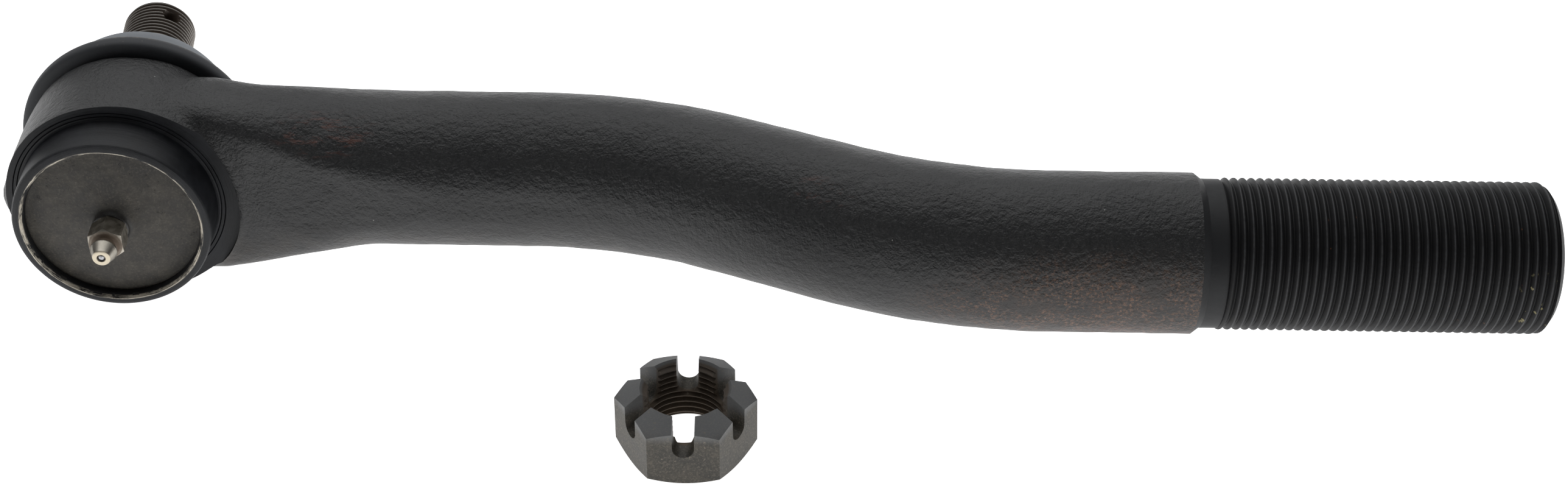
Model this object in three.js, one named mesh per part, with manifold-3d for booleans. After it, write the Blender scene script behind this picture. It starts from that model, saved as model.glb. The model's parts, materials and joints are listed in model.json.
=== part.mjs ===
// Tie rod end of a truck's steering linkage, lying on a table with its castle nut beside it.
//
// Frame: millimetres, +Z up. The origin is the centre of the threaded shank's end face and
// the shank runs from it along -X. The socket is at the other end, with the axis of its bore
// level and close to +Y: the cover plate and grease fitting face -Y, the ball stud points +Y.
// Pieces turned about the socket's axis are drawn as profiles of [radius, height], where
// height is measured from the ball's centre towards the stud.
import * as THREE from 'three';
import { mergeVertices } from 'three/addons/utils/BufferGeometryUtils.js';
import Module from 'manifold-3d';

const wasm = await Module();
wasm.setup();

// ---- Driving dimensions ----------------------------------------------------------------

const fitGap = 0.3;             // between pieces that rest on each other
const runningGap = 0.3;         // between the ball and its bearings
const roundSides = 40;          // facets round the large turned pieces
const innerSides = 32;          // facets round the pieces inside the socket
const smallSides = 24;          // facets round the grease fitting's pieces

// Shank
const centreToEnd = 345.7;      // ball centre to the shank's end face, along the shank
const shankOffset = 31.5;       // from the ball's centre to the thread's axis, along Y
const shankRadius = 19.3;
const threadRadius = 18.2;      // crest of the left-hand thread, 12 turns per inch
const threadLength = 78.3;
const reliefRadius = 17.85;     // plain relief behind the thread
const reliefLength = 4.1;
const stepLength = 1.9;         // chamfer from the relief up to the bar
const endChamfer = 2.2;
const bendAngle = THREE.MathUtils.degToRad(23);
const bendRadius = 127;
const bendShift = 2.4;          // of the double bend, from the middle of its stretch of bar

// Ball and the bore round it. The socket's sizes build up outwards from the ball's.
const ballRadius = 17;
const ballFlat = 1.5 - ballRadius;              // flat on the ball's bottom
const bearingWall = 2.6;
const boreRadius = ballRadius + runningGap + bearingWall + fitGap;
const mouthRadius = ballRadius - 0.1;           // opening that the stud swings in
const bearingShoulder = ballRadius - 7.7;
const bearingHalfGap = 0.6;     // each bearing stops this far from the ball's middle
const lowerBearingEnd = ballFlat + 1.5;

// Cover plate and the neck that is rolled over it
const coverRadius = boreRadius + 1.3;
const coverThickness = 3;
const coverSeat = ballFlat - 6.1;               // step in the bore that the plate rests on
const coverRimWidth = 1.6;      // flat rim under the rolled lip
const coverCrown = 2.4;         // height of the plate's crown
const collarRadius = 4.2;       // raised edge round the fitting's hole
const collarHeight = 0.9;
const fittingHoleRadius = 3.4;
const neckWall = 1.8;
const neckRadius = coverRadius + fitGap + neckWall;
const lipRadius = coverRadius - 0.8;            // inner edge of the rolled lip
const lipUnder = coverSeat - coverThickness - 2 * fitGap;
const neckEnd = lipUnder - 1.4;
const lipCrest = neckEnd - 1.1;

// Forging
const socketLean = THREE.MathUtils.degToRad(3.6);   // socket axis, from square to the shank
const shoulderWidth = 4.2;
const forgingRadius = neckRadius + shoulderWidth;
const forgingShift = 1;         // of the forging from the turned neck's axis, towards the shank
const forgingBottom = coverSeat + 5.1;          // height of the machined shoulder
const forgingTopRadius = forgingRadius - 0.4;
const bootSeat = bearingShoulder - 1;           // machined face that the boot stands on
const forgingTop = bootSeat - 0.9;
const bootNeckRadius = forgingTopRadius - 5.4;  // neck that the boot's base grips
const socketTop = bearingShoulder + 2.7;
const seatClearance = 2.4;      // from the boot's rim to the shank's root, cut back round it
const root = {                  // flattened stretch between the socket and the round bar
  halfHeight: 20.4, flare: 2.6, flareLength: 25, halfDepth: 12.8, squareness: 4, length: 62.7,
};

// Ball stud
const studLean = THREE.MathUtils.degToRad(3.6);     // how far the stud rests off centre
const studNeckRadius = 9.2;
const taperLow = { radius: 11.6, height: ballRadius + 9 };
const taperHigh = { radius: 10.5, height: taperLow.height + 17 };
const studThreadRadius = 9.45;
const studEnd = taperHigh.height + 22.6;
const studEndRadius = 8.9;
const pinHoleRadius = 2.1;      // cross hole for a cotter pin
const pinHoleInset = 6.3;       // from the stud's end
const pinHoleTurn = THREE.MathUtils.degToRad(32);   // about the stud, from +Z towards +X

// Preload spring
const springWire = 1.2;         // radius of the wire
const springCoilRadius = boreRadius - 4.7;
const springTurns = 2.2;

// Grease fitting
const hexFlats = 7.94;
const hexLength = 6;
const fittingHeadLength = 5.9;  // from the hexagon to the tip
const fittingHeadRadius = 3.2;
const fittingGrooveRadius = 2.4;
const tipRadius = 2;
const inletRadius = 0.9;
const chamberRadius = 1.5;
const checkBallRadius = 1.2;
const checkSpringWire = 0.16;
const checkSpringRadius = 0.95;
const checkSpringTurns = 5;
const checkSpringLength = 3.4;

// Dust boot and its rings
const bootRadius = forgingTopRadius + 1.2;
const bootCrownRadius = bootRadius - 8;         // half way up the boot's shoulder
const bootTop = taperLow.height + 11.4;
const bootWall = 2;
const bootLipWall = 2.4;
const bootBaseHeight = 3.6;
const baseRingWidth = 1;
const baseRingHeight = 2.2;
const clipWire = 0.6;           // radius of the clip's wire

// Castle nut, lying beside the shank on the table that the boot's rim rests on
const nutFlats = 28.575;
const nutHeight = 16.9;
const nutClearance = 0.05;      // radial, from the stud's thread to the nut's bore
const nutBoreRadius = studThreadRadius + nutClearance;
const nutCountersink = 1;
const nutCrownSlope = Math.tan(THREE.MathUtils.degToRad(30));
const nutSlots = 6;
const nutSlotWidth = 5;
const nutSlotDepth = 8.9;
const nutPlace = { x: -203.5, y: -38.8 };

// ---- Materials -------------------------------------------------------------------------

function finish(color, roughness, metalness) {
  return new THREE.MeshStandardMaterial({ color, roughness, metalness });
}

const forgedBlack = finish(0x2b2d30, 0.62, 0.55);
const plateBrown = finish(0x3d3a35, 0.6, 0.5);
const zinc = finish(0xb9b09d, 0.32, 0.9);
const brightSteel = finish(0xb4b6b8, 0.25, 1);
const bearingSteel = finish(0x6e6a63, 0.45, 0.85);
const springSteel = finish(0x55575a, 0.4, 0.9);
const studBrown = finish(0x5a5149, 0.5, 0.75);
const bootRubber = finish(0x2c2f33, 0.72, 0);
const nutPhosphate = finish(0x4c4b45, 0.62, 0.5);

// ---- Helpers ---------------------------------------------------------------------------

// Shared vertices, no slivers, and faces that point out.
function cleaned(geometry) {
  const bare = geometry.clone();
  bare.deleteAttribute('normal');
  bare.deleteAttribute('uv');
  const merged = mergeVertices(bare, 1e-4);
  const position = merged.attributes.position;
  const corners = [0, 1, 2].map(() => new THREE.Vector3());
  const kept = [];
  let volume = 0;
  for (let i = 0; i < merged.index.count; i += 3) {
    const [a, b, c] = [0, 1, 2].map((k) => merged.index.getX(i + k));
    if (a === b || b === c || a === c) continue;
    [a, b, c].forEach((vertex, k) => corners[k].fromBufferAttribute(position, vertex));
    volume += corners[0].dot(corners[1].clone().cross(corners[2]));
    kept.push(a, b, c);
  }
  if (volume < 0) kept.reverse();
  merged.setIndex(kept);
  return merged;
}

function toSolid(geometry) {
  const { attributes, index } = cleaned(geometry);
  return new wasm.Manifold(new wasm.Mesh({
    numProp: 3,
    vertProperties: new Float32Array(attributes.position.array),
    triVerts: new Uint32Array(index.array),
  }));
}

function toGeometry(solid) {
  const mesh = solid.getMesh();
  const geometry = new THREE.BufferGeometry();
  geometry.setAttribute('position', new THREE.BufferAttribute(mesh.vertProperties, 3));
  geometry.setIndex(new THREE.BufferAttribute(mesh.triVerts, 1));
  geometry.computeVertexNormals();
  return geometry;
}

// A profile of [radius, height] turned about the local Y axis. A ring's profile closes.
function turned(profile, sides) {
  const points = profile.map(([radius, height]) => new THREE.Vector2(radius, height));
  if (profile[0][0] > 0) points.push(points[0].clone());
  return new THREE.LatheGeometry(points, sides);
}

// Points of a circle about a point on the axis, between two heights.
function arc(radius, fromHeight, toHeight, steps, centre = 0) {
  const start = Math.asin((fromHeight - centre) / radius);
  const end = Math.asin((toHeight - centre) / radius);
  return Array.from({ length: steps + 1 }, (_, i) => {
    const angle = THREE.MathUtils.lerp(start, end, i / steps);
    return [radius * Math.cos(angle), centre + radius * Math.sin(angle)];
  });
}

class Helix extends THREE.Curve {
  constructor(radius, start, end, turns) {
    super();
    Object.assign(this, { radius, start, end, turns });
  }

  getPoint(u, target = new THREE.Vector3()) {
    const angle = 2 * Math.PI * this.turns * u;
    const height = THREE.MathUtils.lerp(this.start, this.end, u);
    return target.set(this.radius * Math.cos(angle), height, this.radius * Math.sin(angle));
  }
}

function wireAlong(curve, wireRadius, sides, steps) {
  const section = new THREE.Shape();
  section.absarc(0, 0, wireRadius, 0, 2 * Math.PI, false);
  const outline = new THREE.Shape(section.getSpacedPoints(sides).slice(0, sides));
  return new THREE.ExtrudeGeometry(outline, { steps, extrudePath: curve, bevelEnabled: false });
}

function named(name, geometry, material) {
  const mesh = new THREE.Mesh(geometry, material);
  mesh.name = name;
  return mesh;
}

const object = new THREE.Group();
const socketPlace = new THREE.Vector3(-centreToEnd, shankOffset, 0);
const socket = new THREE.Group();       // pieces on the socket's axis
socket.position.copy(socketPlace);
socket.rotation.z = socketLean;
const studSide = new THREE.Group();     // pieces on the stud's axis
studSide.rotation.z = studLean;
socket.add(studSide);
socket.updateMatrix();
object.add(socket);

// ---- Housing: forged socket and shank in one piece ---------------------------------------

// Level centre line: two straight runs joined by two equal bends with a straight between.
class ShankLine extends THREE.CurvePath {
  constructor(startX, endX) {
    super();
    const bendRise = bendRadius * (1 - Math.cos(bendAngle));
    const slant = (shankOffset - 2 * bendRise) / Math.sin(bendAngle);
    const halfLength = bendRadius * Math.sin(bendAngle) + slant * Math.cos(bendAngle) / 2;
    const bendMiddle = (startX + endX) / 2 + bendShift;
    const corners = this.bend(bendMiddle - halfLength, shankOffset, -1);
    const back = this.bend(bendMiddle + halfLength, 0, 1).reverse();
    const route = [new THREE.Vector3(startX, shankOffset, 0), ...corners, ...back,
      new THREE.Vector3(endX, 0, 0)];
    for (let i = 1; i < route.length; i += 1) {
      this.add(new THREE.LineCurve3(route[i - 1], route[i]));
    }
  }

  // Points round one bend, from its straight run inwards.
  bend(x, y, side, steps = 6) {
    return Array.from({ length: steps + 1 }, (_, i) => {
      const angle = bendAngle * i / steps;
      return new THREE.Vector3(x - side * bendRadius * Math.sin(angle),
        y + side * bendRadius * (1 - Math.cos(angle)), 0);
    });
  }
}

// From a flattened, nearly square section in the socket to the bar's round one.
function buildRoot() {
  const start = mouthRadius;
  const end = root.length + 3;
  const geometry = new THREE.CylinderGeometry(1, 1, 1, 36, 7);
  const position = geometry.attributes.position;
  for (let i = 0; i < position.count; i += 1) {
    const share = position.getY(i) + 0.5;
    const x = THREE.MathUtils.lerp(start, end, share);
    const round = THREE.MathUtils.smoothstep(x, forgingRadius, root.length);
    const across = position.getX(i);
    const up = position.getZ(i);
    const power = THREE.MathUtils.lerp(root.squareness, 2, round);
    const bulge = (Math.abs(across) ** power + Math.abs(up) ** power) ** (-1 / power);
    const stretch = across || up ? bulge * Math.hypot(across, up) : 0;
    const spread = 1 - THREE.MathUtils.clamp((x - forgingRadius) / root.flareLength, 0, 1);
    const depth = THREE.MathUtils.lerp(root.halfDepth, shankRadius - 0.1, round);
    const height = THREE.MathUtils.lerp(root.halfHeight, shankRadius - 0.1, round)
      + root.flare * spread ** 2;
    const centre = THREE.MathUtils.lerp(forgingBottom + root.halfDepth, 0, round);
    position.setXYZ(i, x, centre + depth * stretch * across, height * stretch * up);
  }
  return geometry.translate(socketPlace.x, socketPlace.y, 0);
}

function buildHousing() {
  const threadStart = -threadLength;
  const reliefStart = threadStart - reliefLength;
  const barEnd = reliefStart - stepLength;
  const line = new ShankLine(-centreToEnd + root.length, barEnd);
  const bar = toSolid(wireAlong(line, shankRadius, 36, 26));

  const alongX = new THREE.Matrix4().makeRotationZ(-Math.PI / 2);
  const threadStep = threadRadius - reliefRadius;
  const threaded = toSolid(turned([
    [0, barEnd - 4], [shankRadius - 0.4, barEnd - 4], [shankRadius, barEnd - 0.05],
    [reliefRadius, reliefStart], [reliefRadius, threadStart],
    [threadRadius, threadStart + threadStep], [threadRadius, -endChamfer],
    [threadRadius - endChamfer * 0.8, 0], [0, 0],
  ], 36).applyMatrix4(alongX));

  const drum = toSolid(turned([
    [0, forgingBottom], [forgingRadius - 0.4, forgingBottom], [forgingRadius, forgingBottom + 0.6],
    [forgingRadius, forgingBottom / 2], [forgingTopRadius, forgingTop],
    [forgingTopRadius - 0.9, bootSeat], [0, bootSeat],
  ], roundSides).translate(forgingShift, 0, 0).applyMatrix4(socket.matrix));
  const neck = toSolid(turned([
    [0, lipCrest], [lipRadius + 0.9, lipCrest], [neckRadius - 0.8, lipCrest + 0.3],
    [neckRadius, neckEnd + 0.2], [neckRadius, forgingBottom - 0.5],
    [neckRadius + 0.5, forgingBottom], [neckRadius, forgingBottom + 1],
    [bootNeckRadius, bootSeat - 1], [bootNeckRadius, socketTop], [0, socketTop],
  ], roundSides).applyMatrix4(socket.matrix));
  const outside = drum.add(neck);

  // The root stands a little above the face that the boot seats on, so it is cut back round it.
  const cutRadius = bootRadius + seatClearance;
  const bootRelief = toSolid(turned([
    [0, socketTop], [bootNeckRadius, socketTop], [bootNeckRadius, bootSeat],
    [cutRadius, bootSeat], [cutRadius, 2 * cutRadius], [0, 2 * cutRadius],
  ], roundSides).applyMatrix4(socket.matrix));

  const grooveRadius = coverRadius + fitGap;
  const inside = toSolid(turned([
    [0, lipCrest - 1], [lipRadius + 0.5, lipCrest - 1], [lipRadius + 0.5, lipCrest + 0.2],
    [lipRadius, lipCrest + 1], [lipRadius, lipUnder], [grooveRadius, lipUnder],
    [grooveRadius, coverSeat], [boreRadius, coverSeat], [boreRadius, bearingShoulder],
    [mouthRadius, bearingShoulder], [mouthRadius, socketTop + 1], [0, socketTop + 1],
  ], roundSides).applyMatrix4(socket.matrix));

  const forging = outside.add(bar).add(toSolid(buildRoot())).subtract(bootRelief).subtract(inside);
  return toGeometry(forging.add(threaded));
}

object.add(named('housing', buildHousing(), forgedBlack));

// ---- Ball stud -------------------------------------------------------------------------

function buildStud() {
  const neckStart = Math.sqrt(ballRadius ** 2 - studNeckRadius ** 2);
  const shank = [
    [studNeckRadius - 0.2, neckStart + 2], [studNeckRadius + 0.2, neckStart + 5],
    [taperLow.radius - 0.3, taperLow.height - 2.5], [taperLow.radius, taperLow.height],
    [taperHigh.radius, taperHigh.height], [studThreadRadius, taperHigh.height + 1],
    [studThreadRadius, studEnd - 0.7], [studEndRadius, studEnd], [0, studEnd],
  ];
  const ball = arc(ballRadius, ballFlat, neckStart, 11);
  const stud = toSolid(turned([[0, ballFlat], ...ball, ...shank], roundSides));
  const hole = new THREE.CylinderGeometry(pinHoleRadius, pinHoleRadius, 3 * studThreadRadius, 16);
  hole.rotateX(Math.PI / 2);
  hole.rotateY(pinHoleTurn);
  hole.translate(0, studEnd - pinHoleInset, 0);
  return toGeometry(stud.subtract(toSolid(hole)));
}

studSide.add(named('ball_stud', buildStud(), studBrown));

// ---- Bearings and preload spring ---------------------------------------------------------

function buildBearing(from, to) {
  const cup = arc(ballRadius + runningGap, from, to, 6);
  const outer = boreRadius - fitGap;
  return cleaned(turned([...cup, [outer, to], [outer, from]], innerSides));
}

const upperBearingEnd = bearingShoulder - fitGap;
const upperBearing = buildBearing(bearingHalfGap, upperBearingEnd);
const lowerBearing = buildBearing(lowerBearingEnd, -bearingHalfGap);
socket.add(named('upper_bearing', upperBearing, bearingSteel));
socket.add(named('lower_bearing', lowerBearing, bearingSteel));

// Height of the cover plate's outer face, a shallow crown inside a flat rim.
const coverRimFace = coverSeat - fitGap - coverThickness;
const crownRadius = coverRadius - coverRimWidth;

function coverFace(radius) {
  return coverRimFace - coverCrown * (1 - (radius / crownRadius) ** 2);
}

const springStart = coverFace(springCoilRadius) + coverThickness + fitGap + springWire;
const springEnd = lowerBearingEnd - fitGap - springWire;
const springLine = new Helix(springCoilRadius, springStart + 0.2, springEnd, springTurns);
const springBody = cleaned(wireAlong(springLine, springWire, 8, Math.round(springTurns * 18)));
socket.add(named('preload_spring', springBody, springSteel));

// ---- Cover plate -------------------------------------------------------------------------

function buildCover() {
  const steps = 5;
  const outer = Array.from({ length: steps + 1 }, (_, i) => {
    const radius = THREE.MathUtils.lerp(collarRadius + 0.4, crownRadius, i / steps);
    return [radius, coverFace(radius)];
  });
  const inner = [...outer].reverse().map(([radius]) => {
    const pulled = Math.min(radius, crownRadius - 1);
    return [pulled, coverFace(pulled) + coverThickness];
  });
  const collarFace = coverFace(collarRadius) - collarHeight;
  return cleaned(turned([
    [fittingHoleRadius, collarFace], [collarRadius, collarFace], ...outer,
    [coverRadius, coverRimFace], [coverRadius, coverSeat - fitGap],
    [crownRadius - 0.4, coverSeat - fitGap], ...inner,
    [fittingHoleRadius, coverFace(fittingHoleRadius) + coverThickness],
  ], roundSides));
}

socket.add(named('cover_plate', buildCover(), plateBrown));

// ---- Grease fitting ----------------------------------------------------------------------

const hexTop = coverFace(collarRadius) - collarHeight - fitGap;
const hexBottom = hexTop - hexLength;
const fittingTip = hexBottom - fittingHeadLength;
const fittingInnerEnd = coverFace(0) + coverThickness + 1.6;
const checkBallHeight = fittingTip + 0.4 + Math.sqrt((checkBallRadius + 0.05) ** 2 - inletRadius ** 2);
const springSeat = checkBallHeight + checkBallRadius + checkSpringLength + 0.3;

function buildFitting() {
  const hexRadius = hexFlats / Math.sqrt(3);
  const hexagon = new THREE.CylinderGeometry(hexRadius, hexRadius, hexLength, 6);
  hexagon.translate(0, (hexTop + hexBottom) / 2, 0);
  const hexEnvelope = turned([
    [0, hexBottom], [hexRadius - 0.9, hexBottom], [hexRadius + 0.2, hexBottom + 0.65],
    [hexRadius + 0.2, hexTop - 0.4], [hexRadius - 0.5, hexTop], [0, hexTop],
  ], smallSides);
  const stem = turned([
    [0, fittingTip], [tipRadius, fittingTip], [fittingHeadRadius, fittingTip + 1.3],
    [fittingHeadRadius - 0.2, fittingTip + 3.1], [fittingGrooveRadius, fittingTip + 3.4],
    [fittingGrooveRadius, hexBottom + 0.5], [fittingHoleRadius - fitGap, hexBottom + 1],
    [fittingHoleRadius - fitGap, fittingInnerEnd], [0, fittingInnerEnd],
  ], smallSides);
  const passage = turned([
    [0, fittingTip - 1], [inletRadius, fittingTip - 1], [inletRadius, fittingTip + 0.4],
    [chamberRadius, fittingTip + 0.8], [chamberRadius, springSeat], [0.7, springSeat],
    [0.7, fittingInnerEnd + 1], [0, fittingInnerEnd + 1],
  ], smallSides);
  const body = toSolid(hexagon).intersect(toSolid(hexEnvelope)).add(toSolid(stem));
  return toGeometry(body.subtract(toSolid(passage)));
}

socket.add(named('grease_fitting_body', buildFitting(), zinc));

const checkBall = cleaned(turned(
  [[0, -checkBallRadius], ...arc(checkBallRadius, -0.99 * checkBallRadius, 0.99 * checkBallRadius, 8),
    [0, checkBallRadius]], 16));
checkBall.translate(0, checkBallHeight, 0);
socket.add(named('grease_check_ball', checkBall, brightSteel));

const checkSpringStart = checkBallHeight + checkBallRadius + 0.1 + checkSpringWire;
const checkSpringEnd = springSeat - 0.05 - checkSpringWire;
const checkLine = new Helix(checkSpringRadius, checkSpringStart, checkSpringEnd, checkSpringTurns);
const checkSpring = cleaned(wireAlong(checkLine, checkSpringWire, 5, checkSpringTurns * 10));
socket.add(named('grease_check_spring', checkSpring, springSteel));

// ---- Dust boot and its rings ---------------------------------------------------------------

const bootBase = bootSeat + fitGap;
const bootBaseEnd = bootBase + bootBaseHeight;
const gripRadius = bootNeckRadius + fitGap;
const ringOuter = gripRadius + baseRingWidth;
const ringStart = bootBase + 0.7;
const ringEnd = ringStart + baseRingHeight;

// Radius of the stud's taper at a height along the stud.
function taperRadius(height) {
  const share = (height - taperLow.height) / (taperHigh.height - taperLow.height);
  return THREE.MathUtils.lerp(taperLow.radius, taperHigh.radius, share);
}

const lipBore = taperRadius(bootTop - 3) + fitGap;
const lipOuter = lipBore + bootLipWall;

// Turns each ring of vertices about the ball's centre, none at the base and all at the lip.
function leaned(geometry, fromHeight, toHeight) {
  const position = geometry.attributes.position;
  const point = new THREE.Vector3();
  const axis = new THREE.Vector3(0, 0, 1);
  for (let i = 0; i < position.count; i += 1) {
    point.fromBufferAttribute(position, i);
    const share = THREE.MathUtils.smoothstep(point.y, fromHeight, toHeight);
    point.applyAxisAngle(axis, studLean * share);
    position.setXYZ(i, point.x, point.y, point.z);
  }
  return geometry;
}

function buildBoot() {
  const crownHeight = bootTop - 7.6;
  const shoulder = [
    [gripRadius, bootBase], [bootRadius - 1.6, bootBase], [bootRadius - 0.5, bootBase + 1],
    [bootRadius, bootBase + 3], [bootRadius - 0.3, bootBase + 4.6],
    [bootRadius - 1.6, bootBase + 6.2], [bootRadius - 3.4, bootBase + 10],
    [bootRadius - 5.2, bootBase + 15], [bootCrownRadius, crownHeight],
    [bootCrownRadius - 3.6, crownHeight + 2.7], [lipOuter + 0.4, crownHeight + 4],
    [lipOuter, crownHeight + 5.4], [lipOuter, bootTop], [lipBore, bootTop],
  ];
  const lining = [
    [lipBore, bootTop - 3.6], [bootCrownRadius - 4.6, crownHeight + 1],
    [bootCrownRadius - bootWall, crownHeight - 1.3],
    [bootRadius - 5.2 - bootWall, bootBase + 14.2], [bootRadius - 3.4 - bootWall, bootBase + 9.6],
    [bootRadius - 2.6 - bootWall, bootBase + 6], [gripRadius, bootBaseEnd],
    [gripRadius, ringEnd + fitGap], [ringOuter + fitGap, ringEnd + fitGap],
    [ringOuter + fitGap, ringStart - fitGap], [gripRadius, ringStart - fitGap],
  ];
  return cleaned(leaned(turned([...shoulder, ...lining], innerSides), bootBaseEnd, bootTop - 4));
}

socket.add(named('dust_boot', buildBoot(), bootRubber));

const baseRing = cleaned(turned(
  [[gripRadius, ringStart], [ringOuter, ringStart], [ringOuter, ringEnd], [gripRadius, ringEnd]],
  innerSides));
socket.add(named('boot_base_ring', baseRing, springSteel));

const clip = new THREE.TorusGeometry(lipOuter + fitGap + clipWire, clipWire, 6, innerSides);
clip.rotateX(Math.PI / 2);
clip.translate(0, bootTop - 1.3, 0);
studSide.add(named('boot_clip_ring', cleaned(clip), springSteel));

// ---- Castle nut ----------------------------------------------------------------------------

function buildNut() {
  const cornerRadius = nutFlats / Math.sqrt(3);
  const hexagon = new THREE.CylinderGeometry(cornerRadius, cornerRadius, nutHeight, 6);
  hexagon.rotateY(Math.PI / 6);
  hexagon.translate(0, nutHeight / 2, 0);
  const crownInner = nutBoreRadius + nutCountersink;
  const crownOuter = cornerRadius + 1;
  const envelope = turned([
    [0, 0], [nutFlats / 2 - 0.3, 0], [crownOuter, (crownOuter - nutFlats / 2 + 0.3) * nutCrownSlope],
    [crownOuter, nutHeight - (crownOuter - crownInner) * nutCrownSlope],
    [crownInner, nutHeight], [0, nutHeight],
  ], roundSides);
  const bore = turned([
    [0, -1], [nutBoreRadius + nutCountersink, -1], [nutBoreRadius + nutCountersink, 0],
    [nutBoreRadius, nutCountersink], [nutBoreRadius, nutHeight - nutCountersink],
    [nutBoreRadius + nutCountersink, nutHeight], [nutBoreRadius + nutCountersink, nutHeight + 1],
    [0, nutHeight + 1],
  ], innerSides);
  let nut = toSolid(hexagon).intersect(toSolid(envelope)).subtract(toSolid(bore));

  const slotShape = new THREE.Shape();
  slotShape.moveTo(nutSlotWidth / 2, nutHeight + 1);
  slotShape.lineTo(-nutSlotWidth / 2, nutHeight + 1);
  const slotCentre = nutHeight - nutSlotDepth + nutSlotWidth / 2;
  slotShape.absarc(0, slotCentre, nutSlotWidth / 2, Math.PI, 2 * Math.PI, false);
  for (let i = 0; i < nutSlots / 2; i += 1) {
    const slot = new THREE.ExtrudeGeometry(slotShape,
      { depth: 2 * crownOuter, bevelEnabled: false, curveSegments: 8 });
    slot.translate(0, 0, -crownOuter);
    slot.rotateY(2 * Math.PI * i / nutSlots);
    nut = nut.subtract(toSolid(slot));
  }
  return toGeometry(nut);
}

const nut = named('castle_nut', buildNut(), nutPhosphate);
nut.rotation.x = Math.PI / 2;
nut.position.set(nutPlace.x, nutPlace.y, -bootRadius);
object.add(nut);

export default object;
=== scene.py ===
import json
import math

import bmesh
import bpy
import numpy as np
from mathutils import Matrix, Vector


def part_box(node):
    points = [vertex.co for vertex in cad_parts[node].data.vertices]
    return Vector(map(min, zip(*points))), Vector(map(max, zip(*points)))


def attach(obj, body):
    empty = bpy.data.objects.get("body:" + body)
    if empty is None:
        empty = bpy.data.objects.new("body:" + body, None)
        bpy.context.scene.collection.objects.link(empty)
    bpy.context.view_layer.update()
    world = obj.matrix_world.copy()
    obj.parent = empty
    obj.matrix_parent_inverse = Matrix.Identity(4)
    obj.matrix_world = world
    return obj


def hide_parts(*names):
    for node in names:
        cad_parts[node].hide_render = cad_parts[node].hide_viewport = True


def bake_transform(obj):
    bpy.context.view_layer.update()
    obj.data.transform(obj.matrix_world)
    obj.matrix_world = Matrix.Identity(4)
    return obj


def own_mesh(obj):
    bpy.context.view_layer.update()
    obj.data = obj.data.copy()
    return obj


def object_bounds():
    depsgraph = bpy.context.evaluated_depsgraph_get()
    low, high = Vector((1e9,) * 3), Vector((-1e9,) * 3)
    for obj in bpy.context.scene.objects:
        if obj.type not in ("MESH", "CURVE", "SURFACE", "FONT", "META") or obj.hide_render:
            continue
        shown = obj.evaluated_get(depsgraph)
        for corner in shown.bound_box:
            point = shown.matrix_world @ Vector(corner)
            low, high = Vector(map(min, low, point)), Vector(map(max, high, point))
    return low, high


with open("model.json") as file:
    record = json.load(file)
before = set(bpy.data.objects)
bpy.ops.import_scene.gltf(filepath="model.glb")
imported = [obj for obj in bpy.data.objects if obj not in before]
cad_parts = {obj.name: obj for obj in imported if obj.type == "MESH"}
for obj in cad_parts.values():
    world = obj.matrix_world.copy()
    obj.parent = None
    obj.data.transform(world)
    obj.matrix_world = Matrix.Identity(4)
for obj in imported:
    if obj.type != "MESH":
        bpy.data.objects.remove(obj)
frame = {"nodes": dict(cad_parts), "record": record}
cad_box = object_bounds()

MM = 0.001


# ---- Table, light and camera -----------------------------------------
# The part lies on a plain white table. The room is bright overhead and behind the part, where a
# softbox hangs too, and dim towards the viewer. The table glows, so that it stays white without a
# shadow and throws light up from below.

class Signal:
    """A shader socket used in sums: each operation on it adds one Math node."""

    def __init__(self, tree, socket):
        self.tree = tree
        self.socket = socket

    def node(self, kind, settings=None, inputs=None, output=0):
        """Adds a node of a kind: its settings first, then the values or links of its sockets."""
        made = self.tree.nodes.new("ShaderNode" + kind)
        for name, value in (settings or {}).items():
            setattr(made, name, value)
        for name, value in (inputs or {}).items():
            if isinstance(value, Signal):
                self.tree.links.new(value.socket, made.inputs[name])
            else:
                made.inputs[name].default_value = value
        return Signal(self.tree, made.outputs[output])

    def other(self, output):
        """Another output of the node that this socket belongs to."""
        return Signal(self.tree, self.socket.node.outputs[output])

    def maths(self, operation, *values):
        return self.node("Math", {"operation": operation}, dict(enumerate(values)))

    def __add__(self, other):
        return self.maths("ADD", self, other)

    __radd__ = __add__

    def __mul__(self, other):
        return self.maths("MULTIPLY", self, other)

    __rmul__ = __mul__

    def __sub__(self, other):
        return self.maths("SUBTRACT", self, other)

    def __rsub__(self, other):
        return self.maths("SUBTRACT", other, self)

    def __truediv__(self, other):
        return self.maths("DIVIDE", self, other)

    def __pow__(self, other):
        return self.maths("POWER", self, other)

    def __abs__(self):
        return self.maths("ABSOLUTE", self)

    def rise(self, low, high):
        """0 below low, 1 above high and a smooth step between; falls instead where low > high."""
        return self.node("MapRange", {"interpolation_type": "SMOOTHSTEP"}, {
            "Value": self, "From Min": min(low, high), "From Max": max(low, high),
            "To Min": float(low > high), "To Max": float(low < high)})

    def mixed(self, first, second):
        """The first colour where this is 0, the second where it is 1."""
        colours = {6: first, 7: second}
        for place, colour in colours.items():
            if not isinstance(colour, Signal):
                colours[place] = (*colour, 1.0)
        return self.node("Mix", {"data_type": "RGBA"}, {0: self, **colours}, output=2)

    def vector(self, operation, other, output=0):
        return self.node("VectorMath", {"operation": operation}, {0: self, 1: other}, output)

    def combined(self, *parts):
        """The vector whose three parts are given."""
        return self.node("CombineXYZ", None, dict(enumerate(parts)))

    def parts(self):
        """The three parts of a vector."""
        x = self.node("SeparateXYZ", None, {0: self})
        return x, x.other(1), x.other(2)


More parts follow.
